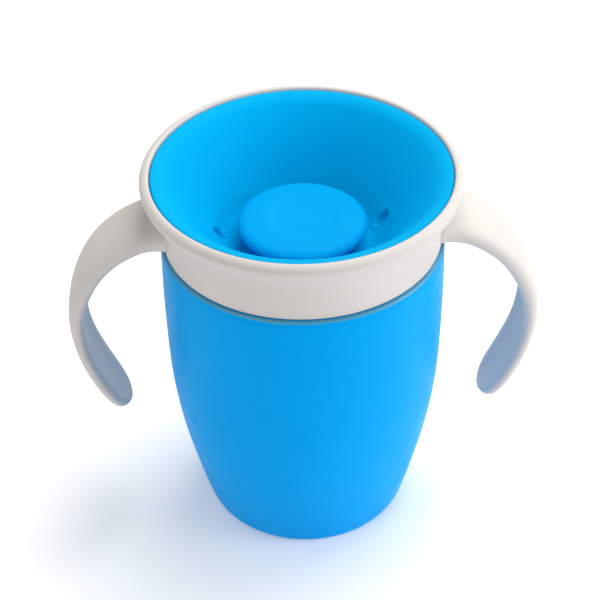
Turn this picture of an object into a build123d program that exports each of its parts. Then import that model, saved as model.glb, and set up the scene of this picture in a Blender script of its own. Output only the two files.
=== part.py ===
from build123d import *
import os
from math import atan2, copysign, cos, degrees, pi, radians, sin

# Trainer cup with a drinking rim all round. Units are millimetres, +Z is up, +X runs
# through the right handle, and the origin is the centre of the foot on the surface
# the cup stands on.

# Tumbler
CUP_OUTER = [
    (35.0, 80.9), (35.1, 68.6), (34.9, 54.9), (34.25, 41.1), (32.45, 27.4), (29.5, 13.7), (27.0, 4.2),
]
CUP_WALL = 2.0
FOOT_CORNER = (26.15, 1.3)
SHOULDER_Z = 81.9
SHOULDER_ROUND = 0.8
FOOT_R = 24.0
FOOT_INNER_R = 18.0
FOOT_RECESS = 1.2
FLOOR_Z = 3.4
NECK_R = 31.0
NECK_BORE_R = 29.2
NECK_TOP_Z = 88.2
NECK_CHAMFER = 0.5
BORE_FLARE_LOW_Z = 79.6
BORE_FLARE_HIGH_Z = 82.9

# Screw thread: three starts, so the collar comes off in a short turn
STARTS = 3
LEAD = 12.0
RIDGE_H = 1.2
CUP_RIDGE_R = 32.2
CUP_RIDGE_Z = 83.5
CUP_RIDGE_TURN = 100.0
COLLAR_RIDGE_R = 31.4
COLLAR_RIDGE_Z = 83.5
COLLAR_RIDGE_TURN = 62.0
THREAD_PHASE = 48.0

# Collar
BAND_BOTTOM_Z = 82.3
BAND_BOTTOM_R = 34.2
BAND_TOP_R = 35.0
BAND_TOP_Z = 92.2
BEAD = [(36.2, 94.8), (37.9, 96.8), (38.9, 98.2), (39.1, 99.3), (38.6, 100.3), (37.6, 100.9), (36.75, 100.5)]
LIP_SEAT_Z = 98.9
THROAT = [(35.0, 98.5), (33.9, 97.8), (31.1, 94.2), (30.2, 92.7)]
THREAD_BORE_R = 32.7
FLANGE_BORE_R = 33.3
LEDGE_Z = 91.3

# Silicone bowl
BOWL = [
    (36.4, 100.4), (34.8, 100.2), (33.3, 99.3), (31.6, 97.6), (28.6, 94.0), (25.6, 90.0), (22.5, 85.6),
    (19.6, 81.9), (17.4, 80.1),
]
BOWL_WALL = 1.1
BOWL_FLOOR_Z = 79.5
BOWL_FLOOR_R = 15.6
BOSS_R = 7.0
BOSS_BOTTOM_Z = 72.4
BOSS_HOLE_R = 3.2
DIMPLE_AT = (21.3, 85.3)
DIMPLE_TILT = 36.0
DIMPLE_HALF = (0.9, 1.5, 3.2)
DIMPLE_ANGLES = (12.0, 182.0)

# Carrier
FLANGE_R = 33.0
FLANGE_H = 1.4
CHANNEL = 0.5
BASKET_WALL = 1.4
HUB_R = 9.6
HUB_BORE_R = 7.05
HUB_BOTTOM_Z = 69.0
PLATE_H = 1.6
PLATE_DROP = 0.9
PLATE_R = 16.4
BASKET_TOP_R = 28.9
WINDOWS = 6
RIB_W = 3.2
WINDOW_SECTION = [(11.6, 73.0), (27.0, 73.0), (27.0, 85.4), (20.0, 85.4), (11.6, 80.0), (11.6, 73.0)]
WINDOW_REACH = 40.0

# Gasket
SEAL_OUTER_R = 32.0
SEAL_INNER_R = 29.4

# Button
BUTTON_TOP_Z = 87.2
BUTTON_CROWN = [(8.0, 87.02), (13.6, 86.65), (15.5, 86.15), (16.0, 85.25), (15.4, 84.15), (14.2, 83.9)]
BUTTON_NECK_R = 5.4
BUTTON_NECK_Z = 81.8
STEM_R = 3.15
STEM_BOTTOM_Z = 69.6
GROOVE_R = 2.5
GROOVE_Z = (70.6, 71.8)
CLIP_R = 5.6

# Handles: centre line (radius, height), thickness and width at each station
SQUARENESS = 0.72
HANDLE = [
    (32.9, 86.4, 6.4, 18.8), (36.2, 86.3, 6.7, 19.2), (39.6, 85.5, 6.3, 19.4), (45.1, 82.5, 5.9, 19.4),
    (49.9, 78.1, 5.8, 19.1), (53.4, 72.7, 5.6, 18.5), (55.9, 66.5, 5.2, 17.7), (56.9, 60.6, 4.7, 17.1),
    (56.6, 54.3, 4.4, 16.9), (55.2, 48.0, 4.3, 16.8), (53.0, 42.2, 4.3, 16.8), (50.9, 37.7, 4.2, 16.2),
    (49.1, 34.5, 4.0, 14.8), (47.8, 32.5, 3.6, 12.3), (46.9, 31.1, 3.1, 8.8), (46.4, 30.3, 2.4, 4.8),
]


def turned(*edges):
    """Solid of revolution about Z from profile edges drawn in the XZ plane."""
    outline = Wire(list(edges))
    return revolve(Face(outline), axis=Axis.Z)


def at(r, z):
    """Point of a profile at radius r and height z."""
    return (r, 0, z)


def chain(points):
    """Straight edges through profile points."""
    return [Line(at(*a), at(*b)) for a, b in zip(points, points[1:])]


def curve(points):
    """Smooth edge through profile points."""
    return Spline(*[at(*p) for p in points])


def offset_points(points, distance):
    """Profile points moved square to their own line, to the right of travel."""
    moved = []
    for i, (r, z) in enumerate(points):
        r0, z0 = points[max(i - 1, 0)]
        r1, z1 = points[min(i + 1, len(points) - 1)]
        angle = atan2(z1 - z0, r1 - r0)
        moved.append((r + distance * sin(angle), z - distance * cos(angle)))
    return moved


def ridges(radius, depth, start_z, turn, phase):
    """Thread ridges, one per start, each a trapezoid swept up a short helix."""
    rise = LEAD * turn / 360
    path = Helix(pitch=LEAD, height=rise, radius=radius)
    root = RIDGE_H / 2
    crest = RIDGE_H / 3
    buried = radius - copysign(0.3, depth)
    tip = radius + depth
    outline = Polyline(
        (buried, 0, -root), (tip, 0, -crest), (tip, 0, crest), (buried, 0, root),
        close=True,
    )
    ridge = sweep(Face(Wire(outline.edges())), path=path, is_frenet=True)
    step = 360 / STARTS
    return [Rot(0, 0, phase + i * step) * Pos(0, 0, start_z) * ridge for i in range(STARTS)]


def make_cup_body():
    inner = offset_points(CUP_OUTER, CUP_WALL)
    floor_r = inner[-1][0] - 3.0
    shoulder_r = CUP_OUTER[0][0] - SHOULDER_ROUND
    section = [
        curve(CUP_OUTER),
        Spline(
            at(*CUP_OUTER[-1]), at(*FOOT_CORNER), at(FOOT_R, 0),
            tangents=((-0.3, 0, -0.95), (-1, 0, 0)),
        ),
        *chain([
            (FOOT_R, 0), (FOOT_INNER_R + 0.6, 0), (FOOT_INNER_R, FOOT_RECESS), (0, FOOT_RECESS),
            (0, FLOOR_Z), (floor_r, FLOOR_Z),
        ]),
        Spline(at(floor_r, FLOOR_Z), at(*inner[-1]), tangents=((1, 0, 0), (0.3, 0, 0.95))),
        curve(inner[::-1]),
        *chain([
            inner[0], (inner[0][0], BORE_FLARE_LOW_Z), (NECK_BORE_R, BORE_FLARE_HIGH_Z),
            (NECK_BORE_R, NECK_TOP_Z - NECK_CHAMFER), (NECK_BORE_R + NECK_CHAMFER, NECK_TOP_Z),
            (NECK_R - NECK_CHAMFER, NECK_TOP_Z), (NECK_R, NECK_TOP_Z - NECK_CHAMFER),
            (NECK_R, SHOULDER_Z), (shoulder_r, SHOULDER_Z),
        ]),
        Spline(at(shoulder_r, SHOULDER_Z), at(*CUP_OUTER[0]), tangents=((1, 0, 0), (0, 0, -1))),
    ]
    body = turned(*section)
    for ridge in ridges(NECK_R, CUP_RIDGE_R - NECK_R, CUP_RIDGE_Z, CUP_RIDGE_TURN, 0):
        body += ridge
    return body


def squared(value):
    """Cosine or sine pushed outward, which turns a circle into a rounded square."""
    return copysign(abs(value) ** SQUARENESS, value)


def handle_section(r, z, thick, width, angle):
    """One smooth rounded cross-section of a handle."""
    plane = Plane(origin=at(r, z), x_dir=(0, 1, 0), z_dir=(cos(angle), 0, sin(angle)))
    points = []
    for i in range(16):
        a = 2 * pi * i / 16
        points.append((squared(cos(a)) * width / 2, squared(sin(a)) * thick / 2))
    return plane * Face(Wire(Spline(*points, periodic=True)))


def make_handle():
    """Open hook that leaves the collar wall and ends in a rounded paddle."""
    sections = []
    for i, (r, z, thick, width) in enumerate(HANDLE):
        r0, z0 = HANDLE[max(i - 1, 0)][:2]
        r1, z1 = HANDLE[min(i + 1, len(HANDLE) - 1)][:2]
        sections.append(handle_section(r, z, thick, width, atan2(z1 - z0, r1 - r0)))
    return loft(sections)


def make_handle_collar():
    section = [
        Line(at(BAND_BOTTOM_R, BAND_BOTTOM_Z), at(BAND_TOP_R, BAND_TOP_Z)),
        Spline(
            at(BAND_TOP_R, BAND_TOP_Z), *[at(*p) for p in BEAD],
            tangents=((0.1, 0, 1), (-0.3, 0, -1)),
        ),
        *chain([
            BEAD[-1], (BEAD[-1][0], LIP_SEAT_Z), *THROAT, (THROAT[-1][0], LEDGE_Z),
            (FLANGE_BORE_R, LEDGE_Z), (FLANGE_BORE_R, LEDGE_Z - FLANGE_H - 0.2),
            (THREAD_BORE_R, LEDGE_Z - FLANGE_H - 0.5), (THREAD_BORE_R, BAND_BOTTOM_Z + 0.4),
            (THREAD_BORE_R + 0.4, BAND_BOTTOM_Z), (BAND_BOTTOM_R, BAND_BOTTOM_Z),
        ]),
    ]
    body = turned(*section)
    handle = make_handle()
    body += handle
    body += Rot(0, 0, 180) * handle
    depth = COLLAR_RIDGE_R - THREAD_BORE_R
    for ridge in ridges(THREAD_BORE_R, depth, COLLAR_RIDGE_Z, COLLAR_RIDGE_TURN, THREAD_PHASE):
        body += ridge
    return body


def dimple():
    """Shallow teardrop hollow, long up the slope of the bowl."""
    r, z = DIMPLE_AT
    return Pos(r, 0, z) * Rot(0, DIMPLE_TILT, 0) * scale(Sphere(1.0), by=DIMPLE_HALF)


def make_drinking_valve():
    under = offset_points(BOWL, -BOWL_WALL)
    under[0] = (BOWL[0][0], BOWL[0][1] - BOWL_WALL)
    floor_under = BOWL_FLOOR_Z - BOWL_WALL
    section = [
        curve(BOWL),
        Spline(at(*BOWL[-1]), at(BOWL_FLOOR_R, BOWL_FLOOR_Z), tangents=((-0.76, 0, -0.65), (-1, 0, 0))),
        *chain([
            (BOWL_FLOOR_R, BOWL_FLOOR_Z), (BOSS_HOLE_R, BOWL_FLOOR_Z), (BOSS_HOLE_R, BOSS_BOTTOM_Z),
            (BOSS_R - 0.6, BOSS_BOTTOM_Z), (BOSS_R, BOSS_BOTTOM_Z + 0.8), (BOSS_R, floor_under),
            (BOWL_FLOOR_R + 0.6, floor_under),
        ]),
        Spline(at(BOWL_FLOOR_R + 0.6, floor_under), at(*under[-1]), tangents=((1, 0, 0), (0.76, 0, 0.65))),
        curve(under[::-1]),
        Line(at(*under[0]), at(*BOWL[0])),
    ]
    body = turned(*section)
    for angle in DIMPLE_ANGLES:
        body -= Rot(0, 0, angle) * dimple()
    return body


def window_wedge(half):
    """Upright wedge from the axis outward, spanning half degrees to each side of +X."""
    angles = [radians(a) for a in (-half, -half / 3, half / 3, half)]
    arc = [(WINDOW_REACH * cos(a), WINDOW_REACH * sin(a)) for a in angles]
    outline = Polyline((0, 0), *arc, close=True)
    return Pos(0, 0, 66) * extrude(Face(Wire(outline.edges())), amount=30)


def make_valve_carrier():
    cone = offset_points(BOWL[3:], -(BOWL_WALL + CHANNEL))
    basket = offset_points(BOWL[3:], -(BOWL_WALL + CHANNEL + BASKET_WALL))
    flange_z = LEDGE_Z - FLANGE_H
    hub_top = BOWL_FLOOR_Z - BOWL_WALL
    plate_top = hub_top - PLATE_DROP
    plate_low = plate_top - PLATE_H
    lower = [p for p in cone if p[1] < LEDGE_Z - 1 and p[1] > plate_top]
    outer = [p for p in basket if p[1] < flange_z - 1 and p[1] > plate_top - 1]
    profile = [
        (FLANGE_R, LEDGE_Z), (BASKET_TOP_R - 0.1, LEDGE_Z), *lower, (PLATE_R, plate_top),
        (HUB_R, plate_top), (HUB_R - 0.4, hub_top), (HUB_BORE_R, hub_top), (HUB_BORE_R, HUB_BOTTOM_Z),
        (HUB_R - 0.8, HUB_BOTTOM_Z), (HUB_R, HUB_BOTTOM_Z + 1), (HUB_R, plate_low), (PLATE_R + 0.6, plate_low),
        *outer[::-1], (BASKET_TOP_R, flange_z - 0.8), (BASKET_TOP_R, flange_z),
        (FLANGE_R, flange_z), (FLANGE_R, LEDGE_Z),
    ]
    body = turned(*chain(profile))
    step = 360 / WINDOWS
    half = step / 2 - degrees(RIB_W / 2 / 20)
    ring = turned(*chain(WINDOW_SECTION))
    wedge = window_wedge(half)
    for i in range(WINDOWS):
        body -= ring & (Rot(0, 0, (i + 0.5) * step) * wedge)
    return body


def make_seal_ring():
    low = NECK_TOP_Z
    high = LEDGE_Z - FLANGE_H
    cut = 0.3
    return turned(*chain([
        (SEAL_INNER_R, low + cut), (SEAL_INNER_R, high - cut), (SEAL_INNER_R + cut, high),
        (SEAL_OUTER_R - cut, high), (SEAL_OUTER_R, high - cut), (SEAL_OUTER_R, low + cut),
        (SEAL_OUTER_R - cut, low), (SEAL_INNER_R + cut, low), (SEAL_INNER_R, low + cut),
    ]))


def make_press_button():
    low, high = GROOVE_Z
    under_z = BUTTON_CROWN[-1][1]
    section = [
        Spline(
            at(0, BUTTON_TOP_Z), *[at(*p) for p in BUTTON_CROWN],
            tangents=((1, 0, 0), (-1, 0, 0)),
        ),
        *chain([
            BUTTON_CROWN[-1], (BUTTON_NECK_R + 0.8, under_z), (BUTTON_NECK_R, under_z - 0.8),
            (BUTTON_NECK_R, BUTTON_NECK_Z), (STEM_R, BUTTON_NECK_Z), (STEM_R, high), (GROOVE_R, high),
            (GROOVE_R, low), (STEM_R, low), (STEM_R - 0.6, STEM_BOTTOM_Z), (0, STEM_BOTTOM_Z),
            (0, BUTTON_TOP_Z),
        ]),
    ]
    return turned(*section)


def make_stem_clip():
    low, high = GROOVE_Z
    ring = turned(*chain([
        (GROOVE_R, low), (CLIP_R - 0.3, low), (CLIP_R, low + 0.3), (CLIP_R, high - 0.3), (CLIP_R - 0.3, high),
        (GROOVE_R, high), (GROOVE_R, low),
    ]))
    slot = Box(CLIP_R * 1.5, GROOVE_R * 1.7, 4, align=(Align.MIN, Align.CENTER, Align.CENTER))
    return ring - Pos(0, 0, (low + high) / 2) * slot


PARTS = {
    "cup_body": make_cup_body,
    "handle_collar": make_handle_collar,
    "valve_carrier": make_valve_carrier,
    "seal_ring": make_seal_ring,
    "drinking_valve": make_drinking_valve,
    "press_button": make_press_button,
    "stem_clip": make_stem_clip,
}

os.makedirs("parts", exist_ok=True)
for name, make in PARTS.items():
    export_step(make(), f"parts/{name}.step")
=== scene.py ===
import math

import bmesh
import bpy
from mathutils import Matrix, Vector


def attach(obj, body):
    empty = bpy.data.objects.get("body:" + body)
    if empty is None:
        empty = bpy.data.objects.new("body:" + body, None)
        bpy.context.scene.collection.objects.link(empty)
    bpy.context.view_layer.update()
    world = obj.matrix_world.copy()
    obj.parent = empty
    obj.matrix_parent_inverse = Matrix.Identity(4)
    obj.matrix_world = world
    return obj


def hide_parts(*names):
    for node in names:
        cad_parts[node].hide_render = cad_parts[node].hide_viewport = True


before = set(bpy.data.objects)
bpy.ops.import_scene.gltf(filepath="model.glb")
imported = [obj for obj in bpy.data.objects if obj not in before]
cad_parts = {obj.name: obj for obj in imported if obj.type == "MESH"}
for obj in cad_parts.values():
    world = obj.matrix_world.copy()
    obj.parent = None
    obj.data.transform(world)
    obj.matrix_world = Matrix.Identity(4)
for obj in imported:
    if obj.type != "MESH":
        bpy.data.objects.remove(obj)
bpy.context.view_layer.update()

MM = 0.001
ON_AXIS = 1e-4
SHORTEST_RUN = 1e-6
LONGEST_CUT = 0.45
SHARP_ANGLE = 40


# ---------------------------------------------------------------- profiles, (radius, height) in millimetres
def mix(a, b, ta, tb, u):
    """Tuple at u on the line that is a at ta and b at tb."""
    w = (u - ta) / (tb - ta)
    return tuple(x + (y - x) * w for x, y in zip(a, b))


def smoothstep(low, high, x):
    t = max(0.0, min(1.0, (x - low) / (high - low)))
    return t * t * (3 - 2 * t)


def smooth(points, per):
    """Points along a centripetal Catmull-Rom curve through tuples of any length."""
    before = tuple(2 * a - b for a, b in zip(points[0], points[1]))
    after = tuple(2 * a - b for a, b in zip(points[-1], points[-2]))
    pts = [before, *points, after]
    out = []
    for i in range(1, len(pts) - 2):
        p = pts[i - 1:i + 3]
        t = [0.0]
        for a, b in zip(p, p[1:]):
            t.append(t[-1] + max(math.dist(a, b), SHORTEST_RUN) ** 0.5)
        for k in range(per):
            u = t[1] + (t[2] - t[1]) * k / per
            a = [mix(p[j], p[j + 1], t[j], t[j + 1], u) for j in range(3)]
            b = [mix(a[j], a[j + 1], t[j], t[j + 2], u) for j in range(2)]
            out.append(mix(b[0], b[1], t[1], t[2], u))
    out.append(tuple(points[-1]))
    return out


def rounded(points, radius, steps=4):
    """Polyline with each inner corner rounded by radius, or by the corner's own third value."""
    out = [points[0]]
    for a, b, c in zip(points, points[1:], points[2:]):
        r = b[2] if len(b) > 2 else radius
        corner = Vector(b[:2])
        va = Vector((a[0] - b[0], a[1] - b[1]))
        vc = Vector((c[0] - b[0], c[1] - b[1]))
        cut = min(r, va.length * LONGEST_CUT, vc.length * LONGEST_CUT)
        p0 = corner + va.normalized() * cut
        p1 = corner + vc.normalized() * cut
        for k in range(steps + 1):
            t = k / steps
            q = p0 * (1 - t) ** 2 + corner * 2 * t * (1 - t) + p1 * t * t
            out.append((q.x, q.y))
    out.append(points[-1][:2])
    return out


def dense(profile, step):
    """Profile with its long runs divided into pieces no longer than step."""
    out = [profile[0]]
    for a, b in zip(profile, profile[1:]):
        n = max(1, math.ceil(math.dist(a[:2], b[:2]) / step))
        for k in range(1, n + 1):
            out.append((a[0] + (b[0] - a[0]) * k / n, a[1] + (b[1] - a[1]) * k / n))
    return out


# ---------------------------------------------------------------- meshes
def lathe_ring(bm, r, z, segments):
    """Vertices of one full turn, or a single vertex on the axis."""
    if r < ON_AXIS:
        return [bm.verts.new((0, 0, z * MM))]
    turns = [2 * math.pi * k / segments for k in range(segments)]
    return [bm.verts.new((r * MM * math.cos(a), r * MM * math.sin(a), z * MM)) for a in turns]


def bridge(bm, low, high, segments):
    """Faces between two lathe rings, either of which may be a single vertex."""
    if len(low) == 1 and len(high) == 1:
        return
    for k in range(segments):
        n = (k + 1) % segments
        if len(low) == 1:
            bm.faces.new((low[0], high[n], high[k]))
        elif len(high) == 1:
            bm.faces.new((low[k], low[n], high[0]))
        else:
            bm.faces.new((low[k], low[n], high[n], high[k]))


def add_lathe(bm, profile, segments, closed=True):
    """Turns a profile about Z into bm."""
    rings = [lathe_ring(bm, r, z, segments) for r, z in profile]
    pairs = list(zip(rings, rings[1:]))
    if closed:
        pairs.append((rings[-1], rings[0]))
    for low, high in pairs:
        bridge(bm, low, high, segments)


def add_loft(bm, rings):
    """Closed tube through rings of points, in metres, with a fan at each end."""
    made = [[bm.verts.new(p) for p in ring] for ring in rings]
    n = len(made[0])
    for low, high in zip(made, made[1:]):
        for k in range(n):
            bm.faces.new((low[k], low[(k + 1) % n], high[(k + 1) % n], high[k]))
    for ring in (made[0], made[-1]):
        centre = bm.verts.new(sum((v.co for v in ring), Vector()) / n)
        for k in range(n):
            bm.faces.new((ring[k], ring[(k + 1) % n], centre))


def link_object(name, data):
    obj = bpy.data.objects.new(name, data)
    bpy.context.scene.collection.objects.link(obj)
    return obj


def mesh_object(bm, name, material):
    mesh = bpy.data.meshes.new(name)
    bm.to_mesh(mesh)
    bm.free()
    mesh.materials.append(material)
    return link_object(name, mesh)


def finish_mesh(bm, name, body, material, nodes, angle=SHARP_ANGLE):
    """Shaded object from bm that rides a body in place of the frame's nodes."""
    bmesh.ops.recalc_face_normals(bm, faces=bm.faces)
    obj = mesh_object(bm, name, material)
    obj.data.shade_smooth()
    obj.data.set_sharp_from_angle(angle=math.radians(angle))
    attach(obj, body)
    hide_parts(*nodes)
    return obj


# ---------------------------------------------------------------- screw thread
THREAD_BOTTOM = 83.5
THREAD_LEAD = 12.0
THREAD_STARTS = 3
THREAD_HEIGHT = 1.2
THREAD_CREST_SHARE = 0.3
THREAD_SUNK = 0.25
THREAD_RUN_OUT = 0.14
THREAD_LEAST = 0.02
THREAD_STEPS = 48


def thread_section(root, crest, t):
    """Outline of a ridge at share t of its length, fading into the wall at both ends."""
    fade = math.sin(min(1.0, min(t, 1 - t) / THREAD_RUN_OUT) * math.pi / 2)
    tip = root + (crest - root) * max(fade, THREAD_LEAST)
    back = root - THREAD_SUNK if crest > root else root + THREAD_SUNK
    foot = THREAD_HEIGHT / 2
    top = THREAD_HEIGHT * THREAD_CREST_SHARE
    return [(back, -foot), (root, -foot), (tip, -top), (tip, top), (root, foot), (back, foot)]


def add_thread(bm, root, crest, turn, phase):
    """Screw ridges, each turn degrees long, from the wall's radius root to crest."""
    for s in range(THREAD_STARTS):
        rings = []
        for i in range(THREAD_STEPS + 1):
            t = i / THREAD_STEPS
            a = math.radians(phase + s * 360 / THREAD_STARTS + turn * t)
            z = THREAD_BOTTOM + THREAD_LEAD * turn * t / 360
            section = thread_section(root, crest, t)
            rings.append([Vector((r * math.cos(a), r * math.sin(a), z + dz)) * MM for r, dz in section])
        add_loft(bm, rings)


# ---------------------------------------------------------------- materials
DRIFT_SCALE = 28.0
DRIFT_LOW, DRIFT_HIGH = 0.34, 0.68
SCUFF_SCALE = 140.0
SCUFF_LOW, SCUFF_HIGH = 0.35, 0.75
SMOOTHER, ROUGHER = 0.05, 0.09
GRAIN_SCALE = 2600.0
WAVE_SCALE = 160.0
WAVE_SHARE = 3.0
BUMP_STRENGTH = 0.45
BUMP_DEPTH = 0.02


def set_inputs(node, values):
    for name, value in values.items():
        node.inputs[name].default_value = value


def add_noise(nt, coord, scale, detail, roughness=0.5):
    node = nt.nodes.new("ShaderNodeTexNoise")
    set_inputs(node, {"Scale": scale, "Detail": detail, "Roughness": roughness})
    nt.links.new(coord.outputs["Object"], node.inputs["Vector"])
    return node


def add_tint_drift(nt, coord, shader, colour, deeper):
    """Slow drift of the base colour between colour and deeper."""
    drift = add_noise(nt, coord, DRIFT_SCALE, 3.0)
    ramp = nt.nodes.new("ShaderNodeValToRGB")
    low, high = ramp.color_ramp.elements
    low.position = DRIFT_LOW
    high.position = DRIFT_HIGH
    low.color = (*deeper, 1)
    high.color = (*colour, 1)
    nt.links.new(drift.outputs["Fac"], ramp.inputs["Fac"])
    nt.links.new(ramp.outputs["Color"], shader.inputs["Base Color"])


def add_scuffs(nt, coord, shader, rough):
    """Faint patches a little smoother and a little rougher than rough."""
    scuff = add_noise(nt, coord, SCUFF_SCALE, 6.0, 0.65)
    grade = nt.nodes.new("ShaderNodeMapRange")
    set_inputs(grade, {"From Min": SCUFF_LOW, "From Max": SCUFF_HIGH,
                       "To Min": rough - SMOOTHER, "To Max": rough + ROUGHER})
    nt.links.new(scuff.outputs["Fac"], grade.inputs["Value"])
    nt.links.new(grade.outputs["Result"], shader.inputs["Roughness"])


def add_fine_bump(nt, coord, shader):
    """Satin grain over a slow wave, as a bump a fiftieth of a millimetre deep."""
    grain = add_noise(nt, coord, GRAIN_SCALE, 3.0)
    wave = add_noise(nt, coord, WAVE_SCALE, 2.0)
    add = nt.nodes.new("ShaderNodeMath")
    add.operation = "MULTIPLY_ADD"
    add.inputs[1].default_value = WAVE_SHARE
    nt.links.new(wave.outputs["Fac"], add.inputs[0])
    nt.links.new(grain.outputs["Fac"], add.inputs[2])
    bump = nt.nodes.new("ShaderNodeBump")
    set_inputs(bump, {"Strength": BUMP_STRENGTH, "Distance": BUMP_DEPTH * MM})
    nt.links.new(add.outputs["Value"], bump.inputs["Height"])
    nt.links.new(bump.outputs["Normal"], shader.inputs["Normal"])


def plastic(name, colour, deeper, rough, specular, tint=(1, 1, 1)):
    """Moulded plastic or silicone: tint drift, faint scuffs and a fine bump."""
    mat = bpy.data.materials.new(name)
    mat.use_nodes = True
    nt = mat.node_tree
    shader = nt.nodes["Principled BSDF"]
    coord = nt.nodes.new("ShaderNodeTexCoord")
    add_tint_drift(nt, coord, shader, colour, deeper)
    add_scuffs(nt, coord, shader, rough)
    add_fine_bump(nt, coord, shader)
    set_inputs(shader, {"Specular IOR Level": specular, "Specular Tint": (*tint, 1)})
    return mat


GLOSS_BLUE = (0.05, 0.5, 1.0)
CUP = plastic("cup_polypropylene", (0.0, 0.345, 0.82), (0.0, 0.33, 0.79), 0.45, 0.05, GLOSS_BLUE)
# Lighter, glossier blue for the shoulder ring under the collar: a painted highlight line where the
# shoulder's edge catches light.
CUP_SHOULDER_HIGHLIGHT = plastic("cup_painted_shoulder_highlight", (0.07, 0.33, 0.52), (0.05, 0.30, 0.48), 0.40, 0.5)
WHITE = plastic("collar_polypropylene", (0.61, 0.577, 0.552), (0.595, 0.562, 0.537), 0.50, 0.10)
BOWL = plastic("bowl_silicone", (0.0, 0.375, 0.73), (0.0, 0.36, 0.705), 0.5, 0.05, GLOSS_BLUE)
BUTTON = plastic("button_satin", (0.0, 0.345, 0.73), (0.0, 0.33, 0.705), 0.48, 0.06, GLOSS_BLUE)
CARRIER = plastic("carrier_natural_plastic", (0.74, 0.74, 0.72), (0.70, 0.70, 0.68), 0.38, 0.4)
SEAL = plastic("seal_silicone", (0.62, 0.64, 0.66), (0.58, 0.60, 0.62), 0.55, 0.25)


# ---------------------------------------------------------------- tumbler
CUP_OUTER = [
    (34.2, 82.1), (34.65, 81.95), (34.92, 81.6), (34.99, 81.1), (34.97, 80.85), (34.9, 80.7), (34.97, 80.55),
    (35.0, 80.2), (35.03, 77.0), (35.1, 68.6), (34.9, 54.9), (34.25, 41.1), (32.45, 27.4), (29.5, 13.7),
    (28.1, 8.0), (27.0, 4.1), (26.2, 1.6), (25.3, 0.35), (24.0, 0.0),
]
CUP_FOOT = [(24.0, 0.0), (18.6, 0.0, 0.5), (18.0, 1.2, 0.6), (10.0, 1.15), (0.0, 1.1)]
CUP_FLOOR = [(0.0, 3.4), (12.0, 3.4)]
CUP_INNER = [
    (22.3, 3.4), (24.0, 4.1), (25.1, 6.0), (27.6, 13.9), (30.5, 27.8), (32.25, 41.2), (32.9, 55.0),
    (33.1, 68.6), (33.0, 78.6), (32.2, 80.4), (29.9, 82.3), (29.2, 83.6),
]
CUP_NECK = [(29.2, 83.6), (29.2, 88.2, 0.7), (31.0, 88.2, 0.6), (31.0, 81.9, 0.3), (34.2, 82.1)]
CUP_SEGMENTS = 256
NECK_R = 31.0
NECK_CREST_R = 32.2
NECK_THREAD_TURN = 100.0
# Radius and heights of the shoulder ring that gets the painted highlight.
HIGHLIGHT_MIN_R = 34.1
HIGHLIGHT_LOW, HIGHLIGHT_HIGH = 81.5, 82.3


def paint_shoulder_highlight(obj):
    """Gives the shoulder's ring under the collar a lighter, glossier blue: a painted highlight line."""
    obj.data.materials.append(CUP_SHOULDER_HIGHLIGHT)
    for face in obj.data.polygons:
        r = math.hypot(face.center.x, face.center.y) / MM
        z = face.center.z / MM
        if r > HIGHLIGHT_MIN_R and HIGHLIGHT_LOW < z < HIGHLIGHT_HIGH:
            face.material_index = 1


def make_cup_body():
    profile = smooth(CUP_OUTER, 6)
    profile += rounded(CUP_FOOT, 0.5)[1:]
    profile += CUP_FLOOR + smooth(CUP_INNER, 6)
    profile += rounded(CUP_NECK, 0.4)[1:-1]
    bm = bmesh.new()
    add_lathe(bm, dense(profile, 2.0), CUP_SEGMENTS)
    add_thread(bm, NECK_R, NECK_CREST_R, NECK_THREAD_TURN, 0.0)
    obj = finish_mesh(bm, "cup_body_tumbler", "cup", CUP, ["cup_body"])
    # Paints the painted highlight line onto the shoulder ring.
    paint_shoulder_highlight(obj)


# ---------------------------------------------------------------- handles
# Stations of a handle from its root to its tip: radius, height, thickness and width.
HANDLE = [
    (33.5, 86.4, 6.4, 18.8), (36.2, 86.3, 6.6, 19.2), (39.6, 85.5, 6.3, 19.4), (45.1, 82.5, 5.9, 19.4),
    (49.9, 78.1, 5.8, 19.1), (53.4, 72.7, 5.6, 18.5), (55.9, 66.5, 5.2, 17.7), (56.9, 60.6, 4.7, 17.1),
    (56.6, 54.3, 4.4, 16.9), (55.2, 48.0, 4.3, 16.8), (53.0, 42.2, 4.3, 16.8), (50.9, 37.7, 4.2, 16.2),
    (49.1, 34.5, 4.0, 14.8), (47.8, 32.5, 3.6, 12.3), (46.9, 31.1, 3.1, 8.8), (46.4, 30.3, 2.4, 4.8),
]
HANDLE_SEGMENTS = 64
ACROSS_POWER = 0.72
DEEP_POWER = 0.80
COLLAR_R = 35.0
ROOT_RINGS = 30
FLARE_REACH = 1.3
FLARE_THICK = 1.2
FLARE_RISE = 0.6
FLARE_WIDTH = 2.4
WRAP_REACH = 5.0
TROUGH_DEPTH = 0.42
TROUGH_GAIN = 1.9
TROUGH_HALF_WIDTH = 0.62
TROUGH_STARTS = 24
TROUGH_ENDS = 20


def handle_ring(side, station, out, wrap, trough):
    """Ring round one station, drawn back to the collar's wall by wrap and hollowed by trough."""
    r, z, thick, width = station
    ring = []
    for k in range(HANDLE_SEGMENTS):
        t = 2 * math.pi * k / HANDLE_SEGMENTS
        c, s = math.cos(t), math.sin(t)
        across = math.copysign(abs(c) ** ACROSS_POWER, c)
        deep = math.copysign(abs(s) ** DEEP_POWER, s)
        if s < 0:
            deep *= 1 - trough * TROUGH_GAIN * math.exp(-(across / TROUGH_HALF_WIDTH) ** 4)
        lift = deep * thick / 2
        y = across * width / 2
        back = wrap * (COLLAR_R - math.sqrt(COLLAR_R ** 2 - y * y))
        ring.append(Vector((side * (r - back + out.x * lift), y * side, z + out.y * lift)) * MM)
    return ring


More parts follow.
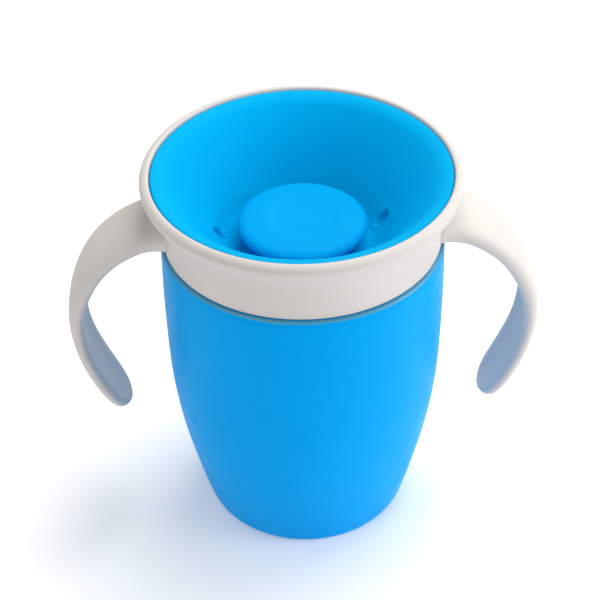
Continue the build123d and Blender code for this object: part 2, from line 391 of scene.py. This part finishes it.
def handle_rings(side):
    """Rings of the open hook on the +X (1) or -X (-1) side; the first ones flare at the collar."""
    stations = smooth(HANDLE, 8)
    last = len(stations) - 1
    rings = []
    for i, (r, z, thick, width) in enumerate(stations):
        a = stations[max(i - 1, 0)]
        b = stations[min(i + 1, last)]
        run = Vector((b[0] - a[0], b[1] - a[1])).normalized()
        out = Vector((-run.y, run.x))
        past = max(r - COLLAR_R, 0)
        near = math.exp(-past / FLARE_REACH) if i < ROOT_RINGS else 0.0
        wrap = max(0.0, 1 - past / WRAP_REACH) ** 2 if i < ROOT_RINGS else 0.0
        trough = TROUGH_DEPTH * min(1.0, i / TROUGH_STARTS) * min(1.0, (last - i) / TROUGH_ENDS)
        station = (r, z + FLARE_RISE * near, thick + FLARE_THICK * near, width + FLARE_WIDTH * near)
        rings.append(handle_ring(side, station, out, wrap, trough))
    return rings


# ---------------------------------------------------------------- collar
RIM_BEAD = [
    (35.0, 92.2), (35.35, 93.5), (36.2, 94.8), (37.2, 95.95), (38.2, 97.1), (38.85, 98.1), (39.1, 99.1),
    (38.95, 99.9), (38.4, 100.6), (37.6, 100.95), (37.0, 100.85), (36.75, 100.35),
]
COLLAR_INSIDE = [
    (36.75, 100.35), (36.75, 98.9, 0.5), (35.0, 98.5), (33.9, 97.8, 1.0), (31.1, 94.2, 0.8),
    (30.2, 92.7, 0.5), (30.2, 91.3, 0.3), (33.3, 91.3, 0.2), (33.3, 89.7), (32.7, 89.4), (32.7, 82.7, 0.4),
    (33.0, 82.3, 0.2), (34.2, 82.3, 0.45), (35.0, 92.2),
]
COLLAR_SEGMENTS = 320
THROAT_R = 32.7
THROAT_CREST_R = 31.4
COLLAR_THREAD_TURN = 62.0
COLLAR_THREAD_PHASE = 48.0


def make_collar():
    profile = smooth(RIM_BEAD, 6) + rounded(COLLAR_INSIDE, 0.3)[1:-1]
    bm = bmesh.new()
    add_lathe(bm, dense(profile, 1.6), COLLAR_SEGMENTS)
    add_thread(bm, THROAT_R, THROAT_CREST_R, COLLAR_THREAD_TURN, COLLAR_THREAD_PHASE)
    for side in (1, -1):
        add_loft(bm, handle_rings(side))
    finish_mesh(bm, "handle_collar_moulding", "collar", WHITE, ["handle_collar"])


# ---------------------------------------------------------------- silicone bowl
BOWL_TOP = [
    (36.55, 100.15), (36.25, 100.42), (35.7, 100.4), (34.8, 100.15), (33.3, 99.3), (31.6, 97.6),
    (28.6, 94.0), (25.6, 90.0), (22.5, 85.6), (19.6, 81.9), (17.4, 80.1), (15.6, 79.5),
]
BOWL_BOSS = [
    (15.6, 79.5), (3.2, 79.5, 0.3), (3.2, 72.4, 0.3), (6.4, 72.4, 0.2), (7.0, 73.2, 0.3), (7.0, 78.4, 0.4),
    (16.2, 78.4),
]
BOWL_UNDER = [
    (16.2, 78.4), (18.1, 79.2), (20.5, 81.3), (23.4, 85.0), (26.5, 89.4), (29.45, 93.3), (32.4, 96.85),
    (34.0, 98.45), (35.2, 99.15), (36.25, 99.3), (36.55, 99.6),
]
BOWL_SEGMENTS = 576
BOWL_SHARP_ANGLE = 50
DIMPLE_ANGLES = (12.0, 181.0)
DIMPLE_R = 20.1
DIMPLE_MIN_R, DIMPLE_MAX_R = 16.6, 24.0
DIMPLE_HALF_LENGTH = 1.7
DIMPLE_HALF_WIDTH = 1.35
DIMPLE_WIDENING = 0.45
DIMPLE_DEPTH = 0.95
DIMPLE_BOTTOM, DIMPLE_EDGE = 0.55, 1.12
LIP_HEIGHT = 0.12
LIP_PLACE = 1.3
LIP_WIDTH = 0.16
PRESS_OUT, PRESS_DOWN = 0.8, -0.6


def dimple_depth(x, y, r, angle):
    """Depth of the teardrop at an angle in degrees, less the faint lip round it."""
    off = ((math.degrees(math.atan2(y, x)) - angle + 180) % 360 - 180) * math.pi / 180 * r
    along = (r - DIMPLE_R) / DIMPLE_HALF_LENGTH
    half_width = DIMPLE_HALF_WIDTH + DIMPLE_WIDENING * max(-1.0, min(1.0, along))
    d = math.hypot(off / half_width, along)
    lip = LIP_HEIGHT * math.exp(-((d - LIP_PLACE) / LIP_WIDTH) ** 2)
    return DIMPLE_DEPTH * (1 - smoothstep(DIMPLE_BOTTOM, DIMPLE_EDGE, d)) - lip


def press_dimples(verts):
    for v in verts:
        x, y, _ = v.co / MM
        r = math.hypot(x, y)
        if not DIMPLE_MIN_R < r < DIMPLE_MAX_R:
            continue
        for angle in DIMPLE_ANGLES:
            depth = dimple_depth(x, y, r, angle)
            v.co += Vector((x / r * PRESS_OUT, y / r * PRESS_OUT, PRESS_DOWN)) * depth * MM


def make_bowl():
    face = dense(smooth(BOWL_TOP, 8), 0.3)
    boss = dense(rounded(BOWL_BOSS, 0.3), 0.9)[1:-1]
    under = dense(smooth(BOWL_UNDER, 6), 0.9)
    bm = bmesh.new()
    add_lathe(bm, face + boss + under, BOWL_SEGMENTS)
    bm.verts.ensure_lookup_table()
    press_dimples(bm.verts[:len(face) * BOWL_SEGMENTS])
    finish_mesh(bm, "drinking_valve_bowl", "valve", BOWL, ["drinking_valve"],
                angle=BOWL_SHARP_ANGLE)


# ---------------------------------------------------------------- button
BUTTON_TOP = [
    (0.0, 86.72), (4.5, 86.73), (6.9, 86.78), (8.0, 86.94), (8.9, 87.08), (10.0, 87.1), (12.0, 87.0),
    (13.9, 86.78), (15.0, 86.42), (15.65, 85.9), (15.98, 85.2), (15.8, 84.5), (15.2, 84.05), (14.2, 83.9),
]
BUTTON_STEM = [
    (14.2, 83.9), (6.2, 83.9, 0.6), (5.4, 83.1, 0.4), (5.4, 81.8, 0.3), (3.15, 81.8, 0.3), (3.15, 71.8, 0.1),
    (2.5, 71.8, 0.1), (2.5, 70.6, 0.1), (3.15, 70.6, 0.2), (2.55, 69.6, 0.2), (0.0, 69.6),
]
BUTTON_SEGMENTS = 256


def make_button():
    profile = dense(smooth(BUTTON_TOP, 8), 0.6) + dense(rounded(BUTTON_STEM, 0.3), 1.0)[1:]
    bm = bmesh.new()
    add_lathe(bm, profile, BUTTON_SEGMENTS, closed=False)
    finish_mesh(bm, "press_button_disc", "button", BUTTON, ["press_button"])


# ---------------------------------------------------------------- gasket and the hidden hard pieces
SEAL_SECTION = [
    (29.4, 89.0), (29.4, 88.5), (29.7, 88.2), (30.3, 88.28), (30.7, 88.2), (31.1, 88.28), (31.7, 88.2),
    (32.0, 88.5), (32.0, 89.6), (31.7, 89.9), (29.7, 89.9), (29.4, 89.6), (29.4, 89.0),
]
SEAL_SEGMENTS = 192


def make_seal():
    bm = bmesh.new()
    add_lathe(bm, rounded(SEAL_SECTION, 0.12, 3)[:-1], SEAL_SEGMENTS)
    finish_mesh(bm, "seal_ring_gasket", "core", SEAL, ["seal_ring"])


def paint_hidden_pieces():
    for node in ("valve_carrier", "stem_clip"):
        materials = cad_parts[node].data.materials
        materials.clear()
        materials.append(CARRIER)


# ---------------------------------------------------------------- stage
FLOOR_HALF = 4.0
FLOOR_DROP = 0.0002
FLOOR_INPUTS = {
    "Base Color": (0.98, 0.98, 0.98, 1),
    "Roughness": 0.8,
    "Emission Color": (1, 1, 1, 1),
    "Emission Strength": 0.17,
    "Specular IOR Level": 0.1,
}
WORLD_STRENGTH = 0.45
# Name, place, target, energy in watts, size in metres and colour.
LIGHTS = (
    ("key", (0.11, 0.14, 0.50), (0, 0, 0.05), 2.15, 0.42, (1.0, 0.985, 0.97)),
    ("right_strip", (0.58, -0.16, 0.20), (0, 0, 0.06), 2.1, 0.40, (0.95, 0.975, 1.0)),
    ("left_fill", (-0.42, -0.46, 0.26), (0, 0, 0.06), 0.7, 0.5, (1.0, 0.98, 0.96)),
)
CAMERA_SWING = -1.4
CAMERA_PLACE = (-0.9012, -355.872, 346.339)
CAMERA_FORWARD = (0.0, 0.78007, -0.62569)
CAMERA_RIGHT = (0.99986, -0.01046, -0.01304)
CAMERA_SENSOR = 36.0
CAMERA_LENS = 108.0
CAMERA_CLIP_START = 0.01


def make_floor():
    mat = bpy.data.materials.new("studio_floor")
    mat.use_nodes = True
    set_inputs(mat.node_tree.nodes["Principled BSDF"], FLOOR_INPUTS)
    bm = bmesh.new()
    bmesh.ops.create_grid(bm, x_segments=2, y_segments=2, size=FLOOR_HALF)
    obj = mesh_object(bm, "studio_floor", mat)
    obj.location.z = -FLOOR_DROP


def area_light(name, place, target, energy, size, colour):
    data = bpy.data.lights.new(name, "AREA")
    data.energy = energy
    data.shape = "DISK"
    data.size = size
    data.color = colour
    obj = link_object(name, data)
    obj.location = place
    obj.rotation_euler = (Vector(target) - Vector(place)).to_track_quat("-Z", "Y").to_euler()


def make_camera():
    """View from the front, above the rim, with the left handle a touch nearer."""
    forward = Vector(CAMERA_FORWARD)
    back = -forward.normalized()
    up = Vector(CAMERA_RIGHT).cross(forward).normalized()
    right = up.cross(back).normalized()
    basis = Matrix((right, up, back)).transposed().to_4x4()
    basis.translation = Vector(CAMERA_PLACE) * MM
    data = bpy.data.cameras.new("camera")
    data.sensor_width = CAMERA_SENSOR
    data.lens = CAMERA_LENS
    data.clip_start = CAMERA_CLIP_START
    obj = link_object("camera", data)
    obj.matrix_world = Matrix.Rotation(math.radians(CAMERA_SWING), 4, "Z") @ basis
    bpy.context.scene.camera = obj


def make_world():
    world = bpy.data.worlds.new("studio")
    world.use_nodes = True
    set_inputs(world.node_tree.nodes["Background"], {"Color": (1, 1, 1, 1), "Strength": WORLD_STRENGTH})
    bpy.context.scene.world = world
    bpy.context.scene.view_settings.view_transform = "Standard"


make_cup_body()
make_collar()
make_bowl()
make_button()
make_seal()
paint_hidden_pieces()
make_floor()
make_camera()
for light in LIGHTS:
    area_light(*light)
make_world()
